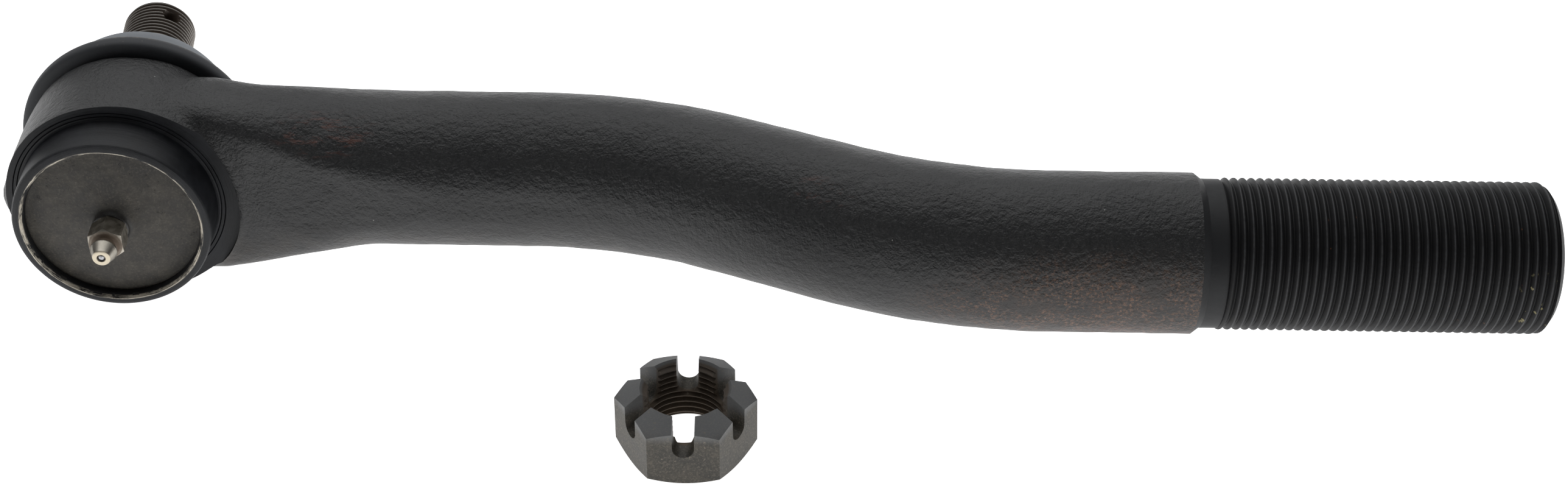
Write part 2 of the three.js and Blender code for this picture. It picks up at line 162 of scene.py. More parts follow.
table = bpy.data.objects.new("table", bpy.data.meshes.new("table"))
table_half = 4.0
table_gap = 0.00005
table_height = cad_box[0].z - table_gap
table.data.from_pydata(
    [(x, y, table_height) for x, y in
     ((-table_half, -table_half), (table_half, -table_half), (table_half, table_half),
      (-table_half, table_half))], [], [(0, 1, 2, 3)])
bpy.context.collection.objects.link(table)
table_white = bpy.data.materials.new("table_white")
table_white.use_nodes = True
table_shader = table_white.node_tree.nodes["Principled BSDF"]
table_shader.inputs["Base Color"].default_value = (0.93, 0.93, 0.93, 1)
table_shader.inputs["Roughness"].default_value = 0.9
table_shader.inputs["Specular IOR Level"].default_value = 0.1
table_shader.inputs["Emission Color"].default_value = (1, 1, 1, 1)
table_shader.inputs["Emission Strength"].default_value = 1.15
table.data.materials.append(table_white)

scene = bpy.context.scene
scene.view_settings.view_transform = "Standard"
room = bpy.data.worlds.new("room")
room.use_nodes = True
scene.world = room
sky = Signal(room.node_tree, None).node("TexCoord")
_, depth, height = sky.parts()
dim, bright, backward = 0.07, 0.85, 0.8
brightness = dim + bright * (height + backward * depth).rise(0.5, 1.2)
room_light = room.node_tree.nodes["Background"]
room_light.inputs["Color"].default_value = (0.98, 0.99, 1.0, 1)
room.node_tree.links.new(brightness.socket, room_light.inputs["Strength"])

light = bpy.data.lights.new("overhead_softbox", "AREA")
light.shape = "RECTANGLE"
light.size, light.size_y = 1.3, 0.8
light.energy = 3.0
softbox = bpy.data.objects.new("overhead_softbox", light)
up_and_back = Vector((-0.15, 0.45, 0.95))
softbox.location = (cad_box[0] + cad_box[1]) / 2 + up_and_back
softbox.rotation_euler = (-up_and_back).to_track_quat("-Z", "Y").to_euler()
bpy.context.collection.objects.link(softbox)

# The camera looks 36 degrees down from in front of the part, with hardly any yaw or roll.
camera_place = Vector((-0.1794, -0.4357, 0.3187))
camera_down = math.radians(36.07)
camera_yaw = math.radians(0.28)
camera_roll = math.radians(0.68)
camera = bpy.data.objects.new("camera", bpy.data.cameras.new("camera"))
camera.data.sensor_width = 36
camera.data.lens = 51.71
camera.data.clip_start = 0.01
camera.matrix_world = (
    Matrix.Translation(camera_place)
    @ Matrix.Rotation(camera_yaw, 4, "Z")
    @ Matrix.Rotation(math.pi / 2 - camera_down, 4, "X")
    @ Matrix.Rotation(camera_roll, 4, "Z"))
bpy.context.collection.objects.link(camera)
scene.camera = camera


# ---- Housing: socket and shank, forged in one piece ------------------
# A steel bar is drop forged into a round socket with a flattened root and a cranked shank. The
# socket's neck, shoulder, bore and boot seat are then turned, the lip is rolled in over the cover
# and the shank's end is turned down and given a rolled left-hand thread. Black, slightly rusted.

joints = {joint["name"]: joint for joint in frame["record"]["behaviour"]["joints"]}
ball_centre = np.array(joints["stud_swing_direction"]["pos_m"]) / MM
socket_axis = np.array(joints["stud_swing_direction"]["axis"])
stud_axis = np.array(joints["stud_spin"]["axis"])
shank_line = 31.5       # from the ball's centre to the thread's axis


def placed(points, origin=ball_centre, axis=socket_axis):
    """Points given as (across, along, up) set at an origin with `along` on a level axis."""
    sideways = np.array([axis[1], -axis[0], 0.0])
    basis = np.stack([sideways, axis, [0.0, 0.0, 1.0]])
    return origin + points @ basis


def around(radius, height, angle):
    """Points of (radius, height, angle) about the `along` axis as (across, along, up)."""
    return np.stack([radius * np.cos(angle), height, radius * np.sin(angle)], -1)


def circle(count):
    return np.linspace(0, 2 * np.pi, count, endpoint=False)


def turned(profile, sides, wobble=None):
    """A profile of (radius, height) carried round the `along` axis, as rows of ring points."""
    radius, height = np.asarray(profile, float).T
    angle = circle(sides)
    wide = np.broadcast_to(radius[:, None], (len(radius), sides)).copy()
    if wobble is not None:
        wide += wobble(radius[:, None], height[:, None], angle[None, :])
    tall = np.broadcast_to(height[:, None], wide.shape)
    return around(wide, tall, angle)


def skinned(name, grid, ring=False, shift=0):
    """A closed skin over rows of ring points. The last column joins the first, `shift` rows on,
    as a screw thread's does. The last row joins the first in a ring; otherwise each open end is
    closed by a fan of triangles to its middle."""
    rows, columns = grid.shape[:2]
    row, column = np.meshgrid(np.arange(rows), np.arange(columns), indexing="ij")
    ahead = row + np.where(column == columns - 1, shift, 0)
    beside = (column + 1) % columns
    corners = np.stack([
        row * columns + column, (row + 1) % rows * columns + column,
        (ahead + 1) % rows * columns + beside, ahead % rows * columns + beside], -1)
    if not ring:
        corners = corners[(row < rows - 1) & (ahead < rows - 1)]
    corners = corners.reshape(-1, 4)
    points = grid.reshape(-1, 3)
    faces = corners.tolist()
    if not ring:
        edges = np.concatenate([corners[:, [k, (k + 1) % 4]] for k in range(4)])
        _, first, count = np.unique(
            np.sort(edges, 1), axis=0, return_index=True, return_counts=True)
        rim = edges[first[count == 1]]
        at_start = rim[:, 0] < len(points) // 2
        for end in (rim[at_start], rim[~at_start]):
            hub = np.full(len(end), len(points))
            points = np.vstack([points, points[end[:, 0]].mean(0)])
            faces += np.stack([end[:, 1], end[:, 0], hub], -1).tolist()
    mesh = bpy.data.meshes.new(name)
    mesh.from_pydata((points * MM).tolist(), [], faces)
    mesh.calc_loop_triangles()
    corner = np.empty(len(mesh.loop_triangles) * 3, int)
    mesh.loop_triangles.foreach_get("vertices", corner)
    a, b, c = (points[corner.reshape(-1, 3)[:, k]] for k in range(3))
    volume = np.einsum("ij,ij->", a, np.cross(b, c))
    if volume < 0:
        mesh.flip_normals()
    made = bpy.data.objects.new(name, mesh)
    bpy.context.collection.objects.link(made)
    return made


def finished(piece):
    """Swaps a piece's mesh for the one that its modifiers make."""
    bpy.context.view_layer.update()
    mesh = bpy.data.meshes.new_from_object(
        piece.evaluated_get(bpy.context.evaluated_depsgraph_get()))
    piece.modifiers.clear()
    mesh.materials.clear()
    piece.data = mesh
    return piece


def worked(piece, tool, operation="DIFFERENCE"):
    """Cuts a tool's solid out of a piece, or joins it, or keeps what both share."""
    step = piece.modifiers.new("work", "BOOLEAN")
    step.operation = operation
    step.solver = "MANIFOLD"
    step.object = tool
    finished(piece)
    bpy.data.objects.remove(tool)
    return piece


def cleaned(piece):
    """Dissolves the needles without area that cuts leave along their edges."""
    work = bmesh.new()
    work.from_mesh(piece.data)
    bmesh.ops.triangulate(work, faces=[face for face in work.faces if len(face.verts) > 4])
    bmesh.ops.dissolve_degenerate(work, dist=0.001 * MM, edges=work.edges)
    work.to_mesh(piece.data)
    work.free()
    return piece


def smoothed(piece, sharp_angle=32):
    """Smooth shading, broken along edges that turn by more than an angle in degrees."""
    piece.data.shade_smooth()
    piece.data.set_sharp_from_angle(angle=math.radians(sharp_angle))
    return piece


def undulation(points, length, seed, waves=30):
    """Plane waves of about one length in random directions, added up to about -1 to 1."""
    chance = np.random.default_rng(seed)
    way = chance.normal(size=(waves, 3))
    way /= np.linalg.norm(way, axis=1, keepdims=True)
    rate = 2 * np.pi / (length * chance.uniform(0.7, 1.5, (waves, 1)))
    start = chance.uniform(0, 2 * np.pi, waves)
    return np.sin(points @ (way * rate).T + start).sum(1) / math.sqrt(2 * waves)


def shank_sections():
    """Distances, points and headings along the shank's level centre line: a straight run from the
    ball's centre, two equal opposite bends with a straight between them, and a straight run."""
    bend, radius, middle_x, end_x = math.radians(23), 127.0, -181.25, -81.5
    inside_socket, spacing = 6.0, 1.6
    rise = radius * (1 - math.cos(bend))
    slant = (shank_line - 2 * rise) / math.sin(bend)
    half = radius * math.sin(bend) + slant * math.cos(bend) / 2
    first = middle_x - half - ball_centre[0]
    last = end_x - (middle_x + half)
    lengths = np.array([first, radius * bend, slant, radius * bend, last])
    starts = np.concatenate([[0], np.cumsum(lengths)])
    along = np.arange(inside_socket, starts[-1] + 0.1, spacing)
    along[-1] = starts[-1]

    def turn_at(distance):
        into, out = (np.clip((distance - starts[k]) / lengths[k], 0, 1) for k in (1, 3))
        return bend * (into - out)

    fine = np.linspace(0, starts[-1], 4001)
    fine_turn = turn_at(fine[:-1])
    step = fine[1] - fine[0]
    x = np.concatenate([[0], np.cumsum(np.cos(fine_turn) * step)])
    y = -np.concatenate([[0], np.cumsum(np.sin(fine_turn) * step)])
    spine = np.stack([np.interp(along, fine, x), np.interp(along, fine, y), 0 * along], -1)
    return along, spine + ball_centre, turn_at(along)


def eased(value):
    """The smooth step of a value held between 0 and 1."""
    share = np.clip(value, 0, 1)
    return share * share * (3 - 2 * share)


def shank_skin(columns=120):
    """Sections square to the centre line. Near the socket each is a superellipse, flattened
    towards the cover side, whose height flares out to the socket with the square of the nearness.
    It turns into a circle with the smooth step of the distance, soonest along its upper front.
    A chord holds the front flat: deep at the root, then shallow where the flash was trimmed."""
    bar, root_height, root_depth, root_centre, root_power = 19.3, 20.4, 12.8, -3.7, 4.0
    root_start, root_length, front_gain, root_flare, flare_length = 28.6, 34.1, 12, 2.6, 25
    along, spine, turn = shank_sections()
    angle = circle(columns)[None, :]
    past_root = (along - root_start)[:, None]
    upper_front = eased(np.sin(angle) / 0.7 + 0.2) * eased(0.4 - np.cos(angle))
    roundness = eased(past_root / (root_length - front_gain * upper_front))
    power = root_power + (2 - root_power) * roundness
    reach = (np.abs(np.cos(angle)) ** power + np.abs(np.sin(angle)) ** power) ** (-1 / power)
    wide = (root_depth + (bar - root_depth) * roundness) * reach * np.cos(angle)
    flare = root_flare * (1 - np.clip(past_root / flare_length, -0.2, 1)) ** 2
    tall = (root_height + flare + (bar - root_height) * roundness) * reach * np.sin(angle)
    wide = wide + root_centre * (1 - roundness)
    flat = np.interp(along, [28, 48, 64, 78, 100, 150], [16.5, 16.7, 18.1, 18.85, 18.9, 19.4])
    lean = math.radians(5)
    front = wide * math.cos(lean) - tall * math.sin(lean)
    past = np.maximum(-flat[:, None] - front, 0) * (past_root > 5)
    wide = wide + past * math.cos(lean)
    tall = tall - past * math.sin(lean)
    side = np.stack([np.sin(turn), np.cos(turn), 0 * turn], -1)[:, None, :]
    return spine[:, None, :] + wide[..., None] * side + tall[..., None] * [0.0, 0.0, 1.0]


housing = skinned("housing_forging", shank_skin())
drum_rings = turned([
    (22.5, 13.5), (23.0, 9.4), (26.2, 8.5), (27.2, 7.4), (27.6, 2), (27.8, -4), (27.8, -24),
    (27.2, -29.5)], 200)
drum_oval, drum_shift = [28.1 / 27.8, 1, 27.4 / 27.8], [1.0, 0, 0]
drum_rings = drum_rings * drum_oval + drum_shift
drum = skinned("rough_socket", placed(drum_rings))
worked(housing, drum, "UNION")
remesh = housing.modifiers.new("forged", "REMESH")
remesh.mode = "VOXEL"
remesh.voxel_size = 0.9 * MM
blend_in = housing.modifiers.new("rounded", "SMOOTH")
blend_in.factor = 0.6
blend_in.iterations = 7
finished(housing)


def triples(items, name):
    """A vector of every vertex, normal or face of a mesh, as rows."""
    values = np.empty(len(items) * 3, np.float32)
    items.foreach_get(name, values)
    return values.reshape(-1, 3)


def place_vertices(piece, place):
    piece.data.vertices.foreach_set("co", (place * MM).astype(np.float32).ravel())


def forged_waves(piece):
    """Moves a skin along its normals by long and short undulations, and lifts a small fin of
    flash, bell-shaped both ways, at the far end of the socket."""
    place = triples(piece.data.vertices, "co") / MM
    swell = 0.07 * undulation(place, 15, 1) + 0.035 * undulation(place, 5, 2)
    swell += 0.022 * undulation(place * [0.6, 1, 1], 2.4, 3, 60)
    from_ball = place - ball_centre
    height = from_ball @ socket_axis
    fin_lift, fin_height, fin_thick, fin_width, far_side = 1.5, -14.2, 1.3, 5, -20
    fin = np.exp(-((height - fin_height) / fin_thick) ** 2 - (from_ball[:, 2] / fin_width) ** 2)
    swell += fin_lift * fin * (from_ball[:, 0] < far_side)
    place += triples(piece.data.vertex_normals, "vector") * swell[:, None]
    place_vertices(piece, place)


forged_waves(housing)

shoulder_tool = [
    (20.0, -27.75), (21.6, -27.72), (22.6, -27.68), (23.2, -27.45), (23.52, -27.0), (23.6, -26.4),
    (23.6, -22.0), (23.6, -17.3), (23.7, -16.85), (24.0, -16.55), (24.35, -16.5), (24.5, -16.2),
    (24.65, -16.5), (25.3, -16.5), (25.45, -16.2), (25.6, -16.5), (27.5, -16.5), (29.4, -16.6),
    (29.5, -40.0), (20.0, -40.0)]
bore_tool = [
    (21.5, -30.0), (21.5, -27.6), (21.15, -27.2), (20.8, -26.5), (20.7, -25.9), (20.7, -25.2),
    (21.8, -25.2), (21.8, -21.6), (20.2, -21.6), (20.2, 9.3), (16.9, 9.3), (16.9, 14.0)]
seat_tool = [
    (22.0, 16.0), (22.0, 8.6), (22.25, 8.3), (30.6, 8.3), (31.0, 8.5), (31.1, 9.2), (31.2, 60.0),
    (23.0, 60.0), (22.3, 30.0)]


def ragged(radius, height, angle):
    """Small uneven steps round the rolled lip's inner edge, strongest at its crest."""
    waves = sum(np.sin(k * angle + 1.7 * k * k) / (1 + 0.03 * k) for k in (7, 13, 23, 37, 61, 83))
    return 0.045 * waves * ((height < -26) & (height > -28.5) & (radius < 21.4))


def turned_tool(name, profile, sides=240, ring=True, wobble=None, axis=socket_axis):
    return skinned(name, placed(turned(profile, sides, wobble), ball_centre, axis), ring)


worked(housing, turned_tool("shoulder_tool", shoulder_tool))
worked(housing, turned_tool("bore_tool", bore_tool, ring=False, wobble=ragged))
worked(housing, turned_tool("seat_tool", seat_tool))

# One turn of a rolled thread, as (share of the pitch, share of the depth above its root).
rolled_form = [(0.0, 0.0), (0.07, 0.05), (0.36, 0.86), (0.43, 0.98), (0.5, 1.0), (0.57, 0.98),
               (0.64, 0.86), (0.93, 0.05)]


def screw(length, start, crest, depth, pitch, hand=1, columns=84):
    """A screw surface. Its rows climb by one pitch in a turn, so that every edge follows the
    helix. hand is 1 for a right-hand thread and -1 for a left-hand one."""
    share, rise = np.array(rolled_form).T
    turns = int(length / pitch) + 3
    shares = (np.arange(turns)[:, None] + share[None, :]).ravel()
    radius = np.tile(crest - depth * (1 - rise), turns)
    angle = circle(columns)
    height = start - pitch + pitch * (shares[:, None] + angle[None, :] / (2 * np.pi) - 1)
    wide = np.broadcast_to(radius[:, None], height.shape)
    return around(wide, height, angle) * [1, 1, -hand]


thread_length, thread_radius, thread_depth, relief_radius = 78.3, 18.2, 1.05, 17.85
thread_pitch = 25.4 / 12
shank_axis = np.array([1.0, 0.0, 0.0])
coil = screw(thread_length + 4, -thread_length - 2, thread_radius, thread_depth, thread_pitch, -1)
thread = skinned("shank_thread", placed(coil, np.zeros(3), shank_axis), shift=len(rolled_form))


def rod_tool(name, profile, sides, ring=False):
    """A profile turned about the shank's threaded end."""
    return skinned(name, placed(turned(profile, sides), np.zeros(3), shank_axis), ring)


worked(thread, rod_tool("thread_ends", [
    (16.9, -thread_length - 0.7), (thread_radius + 0.3, -thread_length + 1.0),
    (thread_radius + 0.3, -1.8), (thread_radius - 0.2, -1.5), (16.2, -0.15), (15.9, 0.0)],
    120), "INTERSECT")
worked(thread, rod_tool("relief", [
    (16.0, -90.0), (relief_radius, -90.0), (relief_radius, -thread_length + 0.2),
    (16.8, -thread_length + 1.4), (15.0, -thread_length + 1.6)], 120), "UNION")
worked(housing, rod_tool("shank_step", [
    (relief_radius, -77.0), (relief_radius + 0.02, -82.4), (19.2, -84.15), (19.6, -84.5),
    (24.0, -84.9), (24.0, -77.0)], 160, ring=True))
worked(housing, thread, "UNION")
cleaned(housing)


def distance_to(profile, radius, height):
    """The shortest distance from points of (radius, height) to a profile's straight pieces."""
    ends = np.asarray(profile, float)
    best = np.full(len(radius), 1e9)
    for (r0, h0), (r1, h1) in zip(ends[:-1], ends[1:]):
        run, climb = r1 - r0, h1 - h0
        ahead = (radius - r0) * run + (height - h0) * climb
        share = np.clip(ahead / (run ** 2 + climb ** 2), 0, 1)
        best = np.minimum(best, np.hypot(radius - r0 - share * run, height - h0 - share * climb))
    return best


def socket_place(points):
    """Radius and height of points about the socket's axis."""
    from_ball = points - ball_centre
    height = from_ball @ socket_axis
    return np.linalg.norm(from_ball - height[:, None] * socket_axis, axis=1), height


places = triples(housing.data.polygons, "center") / MM
radius, height = socket_place(places)
near = np.minimum(distance_to(shoulder_tool[:18], radius, height),
                  np.minimum(distance_to(bore_tool, radius, height),
                             distance_to(seat_tool[:7], radius, height)))
cut_slack, root_reach, step_end = 0.06, 40.0, -84.4
is_turned = (near < cut_slack) & (places[:, 0] < ball_centre[0] + root_reach)
is_thread = places[:, 0] > step_end
slots = np.where(is_turned, 1, np.where(is_thread, 2, 0))
housing.data.polygons.foreach_set("material_index", slots.astype(np.int32))
smoothed(housing)


def new_finish(name, metallic=0.0, roughness=0.5, specular=0.5):
    """A material, its shader and the signal of the Object coordinates in millimetres."""
    material = bpy.data.materials.new(name)
    material.use_nodes = True
    tree = material.node_tree
    shader = tree.nodes["Principled BSDF"]
    shader.inputs["Metallic"].default_value = metallic
    shader.inputs["Roughness"].default_value = roughness
    shader.inputs["Specular IOR Level"].default_value = specular
    place = Signal(tree, tree.nodes.new("ShaderNodeTexCoord").outputs["Object"])
    place = place.node("VectorMath", {"operation": "SCALE"}, {0: place, "Scale": 1 / MM})
    return material, shader, place


def fed(shader, height=None, depth=0.1, **links):
    """Links signals to a shader's sockets, and a height in millimetres through a Bump node."""
    tree = shader.id_data
    sockets = {"colour": "Base Color", "roughness": "Roughness", "metallic": "Metallic",
               "coat": "Coat Weight"}
    for name, value in links.items():
        tree.links.new(value.socket, shader.inputs[sockets[name]])
    if height is not None:
        bump = height.node("Bump", None, {
            "Height": height, "Distance": depth * MM, "Strength": 1.0})
        tree.links.new(bump.socket, shader.inputs["Normal"])


def stretched(place, scale):
    return place.vector("MULTIPLY", scale)


def grain(place, size, detail=3.0, roughness=0.5, distortion=0.0):
    """Cloudy noise from 0 to 1 whose lumps are about one size, in millimetres."""
    return place.node("TexNoise", None, {
        "Vector": place, "Scale": 1 / size, "Detail": detail, "Roughness": roughness,
        "Distortion": distortion})


def specks(place, spacing, size, share):
    """1 inside small dots of a size. Cells are a spacing wide, and a share of them has a dot."""
    bent = place.vector("ADD", grain(place, spacing * 0.35, 1).other(1))
    cell = place.node("TexVoronoi", None, {"Vector": bent, "Scale": 1 / spacing})
    chosen = cell.other(1).parts()[0].rise(share + 0.001, share)
    return cell.rise(size / spacing, 0.6 * size / spacing) * chosen


def distance_from(place, centre, scale=(1, 1, 1)):
    """Distance in millimetres from a point, with each direction weighted."""
    moved = stretched(place.vector("SUBTRACT", tuple(centre)), scale)
    return moved.node("VectorMath", {"operation": "LENGTH"}, {0: moved}, output=1)


def about_axis(place, axis=socket_axis):
    """Radius, height and angle about a level axis through the ball's centre, in millimetres."""
    moved = place.vector("SUBTRACT", tuple(ball_centre))
    height = moved.vector("DOT_PRODUCT", tuple(axis), output=1)
    side = moved.vector("DOT_PRODUCT", (axis[1], -axis[0], 0.0), output=1)
    up = moved.parts()[2]
    radius = (side * side + up * up) ** 0.5
    return radius, height, up.maths("ARCTAN2", up, side)


# The forged skin: black scale with a fine lumpy grain, browner and lighter in patches low down,
# partly its own brown and partly painted bounce light from the table. It has rust specks low down
# behind the thread, rust streaks on the root and the second bend, and flecks of white dust and
# blue paint.
forged_skin, shader, place = new_finish("forged_skin", specular=0.5)
z = place.parts()[2]
clouds = grain(place, 22, 4, 0.6)
lumps = grain(place, 1.25, 4, 0.6)
swells = grain(stretched(place, (0.8, 1, 1)), 4.5, 2, 0.5)
pits = grain(place, 0.45, 2, 0.6)
colour = clouds.rise(0.3, 0.7).mixed((0.0045, 0.0048, 0.0056), (0.0085, 0.0088, 0.0092))
colour = (lumps.rise(0.35, 0.75) * 0.5).mixed(colour, (0.014, 0.014, 0.014))
# Browner and lighter in patches low down: partly the scale's own brown, partly painted bounce light
# from the table below.
brown_and_bounce_light = (z + 8 * clouds).rise(2, -14) * grain(place, 7, 5, 0.65).rise(0.38, 0.66)
colour = (brown_and_bounce_light * 0.75).mixed(colour, (0.023, 0.0175, 0.0125))
rusty = grain(place, 0.8, 5, 0.75).rise(0.49, 0.62) * grain(place, 9, 3, 0.6).rise(0.34, 0.56)
behind_thread = distance_from(place, (-108, -18, -6), (0.024, 0.05, 0.062)).rise(1.25, 0.45)
colour = (behind_thread * clouds.rise(0.25, 0.6) * 0.6).mixed(colour, (0.030, 0.0195, 0.014))
colour = (rusty * behind_thread * 0.9).mixed(colour, (0.155, 0.078, 0.044))
root_rust = distance_from(place, (-293, 20, 17), (0.075, 0.12, 0.2)).rise(1.2, 0.5)
bend_rust = distance_from(place, (-176, -2, 17), (0.085, 0.14, 0.25)).rise(1.1, 0.5)
streaks = grain(stretched(place, (0.28, 1, 1)), 1.5, 4, 0.7).rise(0.5, 0.68)
colour = (streaks * (root_rust + bend_rust) * 0.6).mixed(colour, (0.115, 0.035, 0.02))
scratch_rows = grain(stretched(place, (0.10, 1.0, 1.0)), 1.3, 2, 0.5, 0.3)
hairlines = abs(scratch_rows - 0.5).rise(0.012, 0.004)
low_end = distance_from(place, (-98, -12, -15), (0.04, 0.1, 0.12)).rise(1.1, 0.6)
colour = (hairlines * low_end * 0.8).mixed(colour, (0.10, 0.030, 0.018))
dust = specks(place, 6.0, 0.16, 0.30)
colour = (dust * 0.85).mixed(colour, (0.42, 0.41, 0.39))
radius, height = about_axis(place)[:2]
near_boot = height.rise(-4, 7) * radius.rise(33, 29)
blue_flecks = specks(place, 3.4, 0.30, 0.22) * near_boot
colour = blue_flecks.mixed(colour, (0.035, 0.13, 0.36))
rough = 0.40 + 0.14 * lumps - 0.05 * clouds
bumps = lumps * 0.55 + swells * 0.35 + pits * 0.2
fed(shader, colour=colour, roughness=rough, height=bumps, depth=0.85)

# The turned faces: smooth, bluish black, with fine rings from the tool. Where the lip was rolled
# in, its crest is scraped to bright metal in broken hairlines.
turned_faces, shader, place = new_finish("turned_faces", specular=0.3)
radius, height, angle = about_axis(place)
rings = grain(place.combined(radius * 3.2, height * 3.2, angle * 1.4), 1.0, 3, 0.6)
clouds = grain(place, 5, 4, 0.6)
colour = clouds.rise(0.3, 0.7).mixed((0.005, 0.0055, 0.007), (0.012, 0.013, 0.016))
colour = (rings.rise(0.55, 0.75) * 0.35).mixed(colour, (0.035, 0.038, 0.043))
hairs = grain(place.combined(radius * 9.0, height * 5.0, angle * 5.0), 1.0, 4, 0.7)
patches = grain(place.combined(radius, 0.0, angle * 7), 1.6, 4, 0.65)
on_lip = (height + 0.5 * patches).rise(-26.5, -26.9) * radius.rise(20.8, 21.0)
lip_width = (radius + 0.5 * patches).rise(22.15, 21.75)
bare = on_lip * (hairs * 0.62 + patches * 0.55).rise(0.53, 0.62) * lip_width
# Painted shade: the lip's inner wall, down to the cover, is painted darker, near black, for the
# shadow in the gap between lip and cover.
lip_wall_shade = radius.rise(20.95, 20.75) * height.rise(-28, -26.9)
colour = lip_wall_shade.mixed(colour, (0.006, 0.006, 0.007))
colour = bare.mixed(colour, (0.62, 0.57, 0.48))
blue_flecks = specks(place, 4.5, 0.25, 0.12) * height.rise(-25, -22)
colour = blue_flecks.mixed(colour, (0.035, 0.13, 0.36))
fed(shader, colour=colour, roughness=0.42 + 0.16 * clouds - 0.08 * bare, metallic=0.85 * bare,
    height=rings * 0.5 + hairs * on_lip, depth=0.10)

# The rolled thread: black in the valleys, with worn crests and a little corrosion near the end.
rolled_thread, shader, place = new_finish("rolled_thread", specular=0.25)
x, y, z = place.parts()
from_centre = (y * y + z * z) ** 0.5
patchy = grain(place, 2.2, 4, 0.65)
crest = (from_centre + 0.12 * patchy).rise(thread_radius - 0.02, thread_radius + 0.06)
crest = crest * x.rise(-thread_length + 1, -thread_length + 3)
colour = patchy.mixed((0.0055, 0.0055, 0.006), (0.010, 0.010, 0.011))
colour = (crest * 0.8).mixed(colour, (0.050, 0.051, 0.054))
relief_band = x.rise(-thread_length + 0.5, -thread_length - 0.5)
colour = relief_band.mixed(colour, (0.017, 0.0175, 0.019))
flecks = specks(place, 3.2, 0.32, 0.10)
colour = (flecks * 0.8).mixed(colour, (0.14, 0.06, 0.03))
near_end = distance_from(place, (-5, -17, -1), (0.16, 0.08, 0.09)).rise(1.1, 0.5)
end_spots = specks(place, 2.0, 0.45, 0.5) * near_end
colour = (end_spots * 0.8).mixed(colour, (0.34, 0.30, 0.16))
fed(shader, colour=colour, roughness=0.5 + 0.12 * patchy, height=patchy, depth=0.05)

for finish in (forged_skin, turned_faces, rolled_thread):
    housing.data.materials.append(finish)
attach(housing, "socket_body")
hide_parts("housing")


# ---- Ball stud -------------------------------------------------------
# A hardened steel stud: a ball, a slim neck and a taper that the steering arm's eye clamps on,
# then a fine thread and a cross hole for a cotter pin. Oiled and gone brown in the thread.

stud_thread_radius, stud_thread_depth, stud_end = 9.45, 0.86, 65.6
ball_radius, ball_foot, neck_radius = 17.0, -15.5, 9.2
low_angle = math.asin(ball_foot / ball_radius)
high_angle = math.acos(neck_radius / ball_radius)
ball_angles = np.linspace(low_angle, high_angle, 40)
ball_arc = [(ball_radius * math.cos(a), ball_radius * math.sin(a)) for a in ball_angles]
stud = turned_tool("stud_turned", [
    *ball_arc, (9.0, 15.3), (8.95, 17.0), (9.4, 19.3), (10.3, 21.6), (11.2, 23.8),
    (11.5, 25.0), (11.6, 26.0), (10.5, 42.6), (10.35, 43.0), (8.6, 43.9), (8.55, 45.4),
    (8.5, 46.5)], 128, ring=False, axis=stud_axis)
fine_pitch = 25.4 / 16
coil = screw(stud_end - 45, 44.6, stud_thread_radius, stud_thread_depth, fine_pitch, columns=80)
stud_thread = skinned("stud_thread", placed(coil, axis=stud_axis), shift=len(rolled_form))
worked(stud_thread, turned_tool("stud_thread_ends", [
    (8.4, 44.6), (9.7, 45.9), (9.7, stud_end - 1.1), (8.95, stud_end - 0.36),
    (8.7, stud_end - 0.2), (8.2, stud_end - 0.12), (5.0, stud_end - 0.03), (0.5, stud_end)],
    96, ring=False, axis=stud_axis), "INTERSECT")
worked(stud, stud_thread, "UNION")
pin_turn, pin_inset = math.radians(32), 6.3
pin_axis = placed(np.array([math.sin(pin_turn), 0, math.cos(pin_turn)]), 0, stud_axis)
pin_side = np.cross(stud_axis, pin_axis)
pin_centre = ball_centre + (stud_end - pin_inset) * stud_axis
hole = turned([(2.75, -14), (2.75, -9.5), (2.1, -8.3), (2.1, 8.3), (2.75, 9.5), (2.75, 14)], 40)
worked(stud, skinned("pin_hole", pin_centre + hole @ np.stack([pin_side, pin_axis, stud_axis])))
smoothed(cleaned(stud), 34)

# Stud steel: pale worn thread crests over brown oil in the valleys, and a dark scaly end.
stud_steel, shader, place = new_finish("browned_stud")
radius, height = about_axis(place, stud_axis)[:2]
patchy = grain(place, 1.6, 4, 0.65)
fine = grain(place, 0.35, 3, 0.6)
in_thread = height.rise(43.8, 44.2)
crest = (radius + 0.16 * patchy).rise(stud_thread_radius - 0.16, stud_thread_radius + 0.05)
valley = patchy.mixed((0.030, 0.022, 0.016), (0.075, 0.052, 0.036))
worn = fine.mixed((0.16, 0.145, 0.13), (0.34, 0.32, 0.295))
thread_colour = crest.mixed(valley, worn)
end_dark = height.rise(stud_end - 0.5, stud_end - 0.25)
rim = end_dark * radius.rise(7.7, 8.3)
thread_colour = end_dark.mixed(thread_colour, (0.035, 0.030, 0.026))
thread_colour = (rim * 0.7).mixed(thread_colour, (0.12, 0.105, 0.09))
taper_colour = patchy.mixed((0.10, 0.095, 0.09), (0.17, 0.16, 0.15))
colour = in_thread.mixed(taper_colour, thread_colour)
metal = 0.75 - 0.55 * in_thread * (1 - crest) - 0.4 * end_dark
fed(shader, colour=colour, roughness=0.36 + 0.22 * patchy, metallic=metal,
    height=patchy * 0.6 + fine * 0.4, depth=0.06)
stud.data.materials.append(stud_steel)
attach(stud, "stud_body")
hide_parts("ball_stud")


# ---- Bearings and preload spring -------------------------------------
# Hidden in the bore: two hardened rings cupped to the ball and a coil spring that presses the
# lower one. The rings keep the frame's own shapes and get a machined, lightly oiled steel. The
# finer spring behind the grease fitting's check ball is wound the same way.

